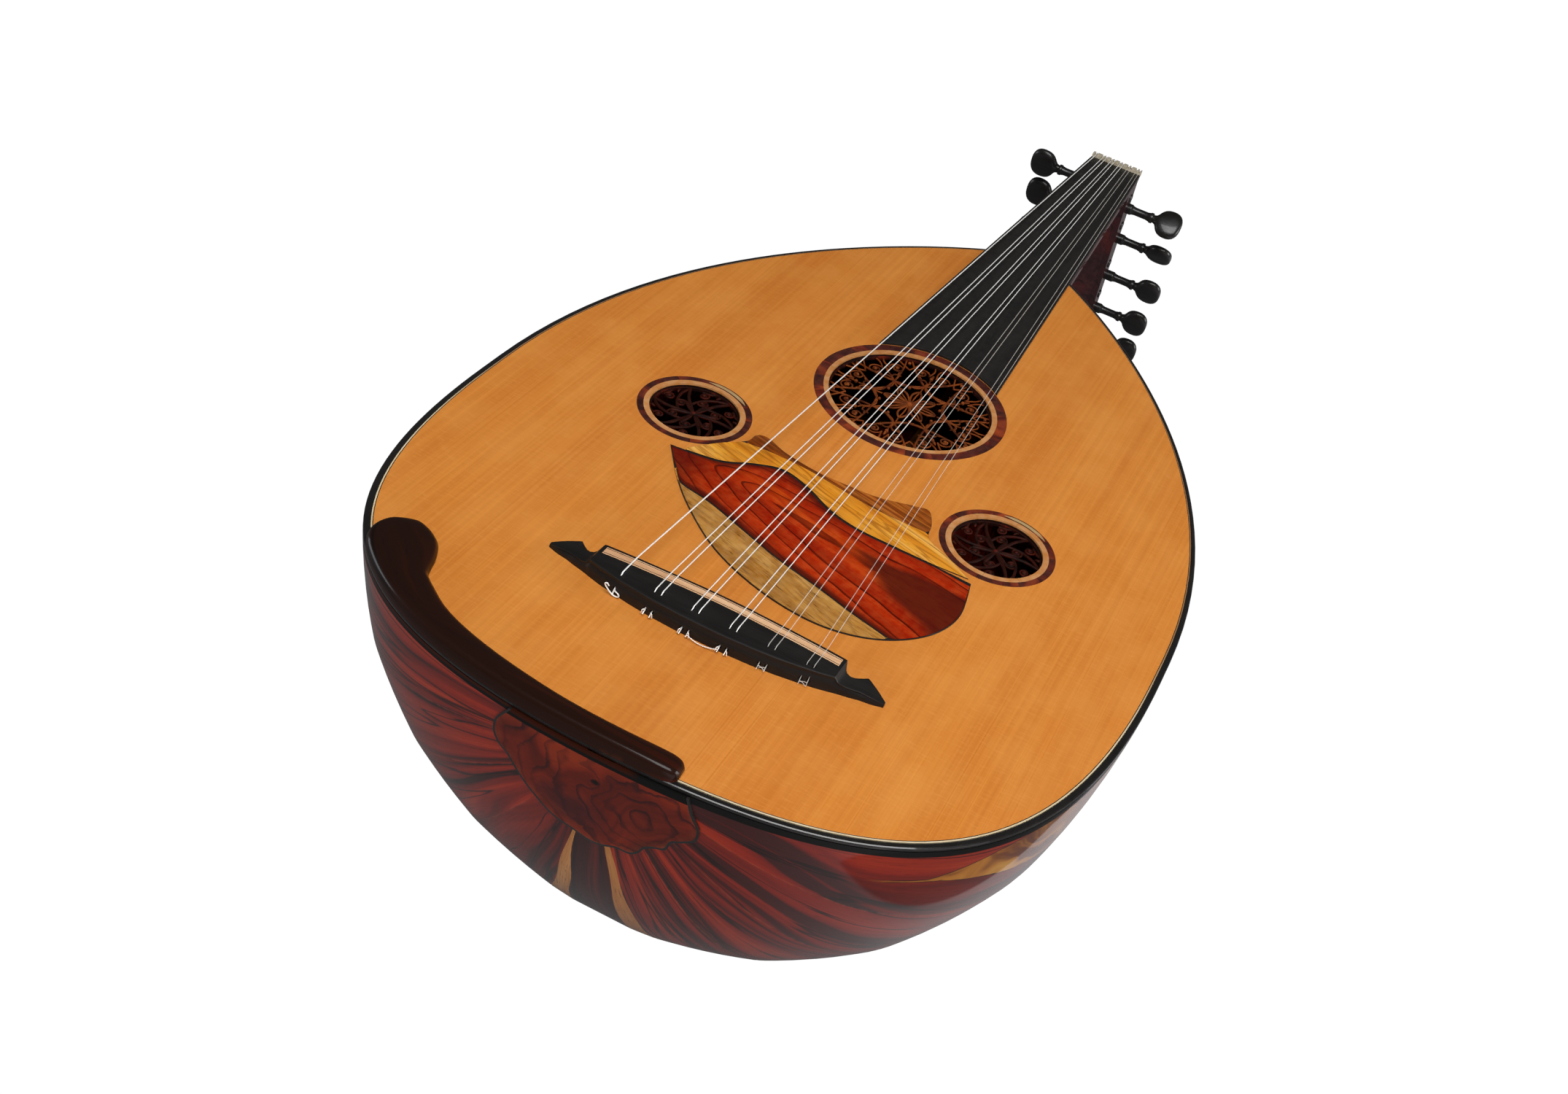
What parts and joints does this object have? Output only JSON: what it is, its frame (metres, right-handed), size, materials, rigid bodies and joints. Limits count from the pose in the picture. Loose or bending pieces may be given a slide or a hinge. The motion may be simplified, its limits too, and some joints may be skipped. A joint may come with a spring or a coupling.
{
  "type": "oud",
  "caption": "Oud: rib-built half-pear bowl, soundboard with fretted roses, short fretless neck, bent-back pegbox and turning friction pegs.",
  "frame": {"origin": "centre of the flat facet under the deepest place of the bowl, where it rests on a table", "axes": "+Z out of the soundboard, +Y along the neck towards the nut, +X towards the treble side"},
  "size_m": [0.3482, 0.7519, 0.1976],
  "materials": {
    "rib_dark": "glossy red-brown rosewood",
    "rib_light": "glossy pale maple",
    "inner_wood": "raw softwood",
    "soundboard": "satin orange-tan spruce",
    "black_wood": "glossy black ebony",
    "rose_wood": "satin fretted brown wood",
    "ring_wood": "glossy dark figured wood",
    "strip_wood": "satin pale maple",
    "guard_red": "glossy red heartwood",
    "guard_pale": "glossy yellow-brown sapwood",
    "neck_wood": "glossy dark purple-red wood",
    "clasp_wood": "glossy figured burl",
    "armrest_wood": "very glossy dark red-black wood",
    "nut_bone": "polished cream bone",
    "wound_string": "silver-plated winding",
    "plain_string": "clear nylon"
  },
  "bodies": {
    "instrument": {"rib_01": "rib_dark", "rib_02": "rib_dark", "rib_03": "rib_dark", "rib_04": "rib_dark", "rib_05": "rib_light", "rib_06": "rib_dark", "rib_07": "rib_light", "rib_08": "rib_dark", "rib_09": "rib_dark", "rib_10": "rib_dark", "rib_11": "rib_dark", "neck_block": "inner_wood", "tail_block": "inner_wood", "soundboard": "soundboard", "edge_binding": "black_wood", "brace_1": "inner_wood", "brace_2": "inner_wood", "brace_3": "inner_wood", "brace_4": "inner_wood", "rose_main": "rose_wood", "ring_main": "ring_wood", "rose_bass": "rose_wood", "ring_bass": "ring_wood", "rose_treble": "rose_wood", "ring_treble": "ring_wood", "bridge": "black_wood", "bridge_strip": "strip_wood", "guard_leaf": "guard_red", "guard_wave": "guard_pale", "neck": "neck_wood", "fingerboard": "black_wood", "nut": "nut_bone", "pegbox_cheek_bass": "neck_wood", "pegbox_cheek_treble": "neck_wood", "pegbox_floor": "neck_wood", "pegbox_tip": "neck_wood", "string_01": "wound_string", "string_02": "wound_string", "string_03": "wound_string", "string_04": "wound_string", "string_05": "wound_string", "string_06": "wound_string", "string_07": "wound_string", "string_08": "plain_string", "string_09": "plain_string", "string_10": "plain_string", "string_11": "plain_string", "tail_clasp": "clasp_wood", "armrest": "armrest_wood"},
    "peg_bass_1": {"peg_bass_1": "black_wood"},
    "peg_bass_2": {"peg_bass_2": "black_wood"},
    "peg_bass_3": {"peg_bass_3": "black_wood"},
    "peg_bass_4": {"peg_bass_4": "black_wood"},
    "peg_bass_5": {"peg_bass_5": "black_wood"},
    "peg_bass_6": {"peg_bass_6": "black_wood"},
    "peg_treble_1": {"peg_treble_1": "black_wood"},
    "peg_treble_2": {"peg_treble_2": "black_wood"},
    "peg_treble_3": {"peg_treble_3": "black_wood"},
    "peg_treble_4": {"peg_treble_4": "black_wood"},
    "peg_treble_5": {"peg_treble_5": "black_wood"}
  },
  "joints": [
    {"name": "turn_bass_1", "type": "hinge", "parent": "instrument", "child": "peg_bass_1", "pos_m": [-0.0172, 0.49289, 0.15804], "axis": [1, 0, 0], "continuous": true},
    {"name": "turn_bass_2", "type": "hinge", "parent": "instrument", "child": "peg_bass_2", "pos_m": [-0.01642, 0.50218, 0.13301], "axis": [1, 0, 0], "continuous": true},
    {"name": "turn_bass_3", "type": "hinge", "parent": "instrument", "child": "peg_bass_3", "pos_m": [-0.01529, 0.51564, 0.09673], "axis": [1, 0, 0], "continuous": true},
    {"name": "turn_bass_4", "type": "hinge", "parent": "instrument", "child": "peg_bass_4", "pos_m": [-0.01433, 0.52702, 0.06607], "axis": [1, 0, 0], "continuous": true},
    {"name": "turn_bass_5", "type": "hinge", "parent": "instrument", "child": "peg_bass_5", "pos_m": [-0.01337, 0.5384, 0.03541], "axis": [1, 0, 0], "continuous": true},
    {"name": "turn_bass_6", "type": "hinge", "parent": "instrument", "child": "peg_bass_6", "pos_m": [-0.01232, 0.55082, 0.00194], "axis": [1, 0, 0], "continuous": true},
    {"name": "turn_treble_1", "type": "hinge", "parent": "instrument", "child": "peg_treble_1", "pos_m": [0.01693, 0.49619, 0.14914], "axis": [1, 0, 0], "continuous": true},
    {"name": "turn_treble_2", "type": "hinge", "parent": "instrument", "child": "peg_treble_2", "pos_m": [0.01605, 0.50653, 0.12129], "axis": [1, 0, 0], "continuous": true},
    {"name": "turn_treble_3", "type": "hinge", "parent": "instrument", "child": "peg_treble_3", "pos_m": [0.01495, 0.51964, 0.08595], "axis": [1, 0, 0], "continuous": true},
    {"name": "turn_treble_4", "type": "hinge", "parent": "instrument", "child": "peg_treble_4", "pos_m": [0.0139, 0.53206, 0.05248], "axis": [1, 0, 0], "continuous": true},
    {"name": "turn_treble_5", "type": "hinge", "parent": "instrument", "child": "peg_treble_5", "pos_m": [0.01297, 0.54309, 0.02276], "axis": [1, 0, 0], "continuous": true}
  ]
}
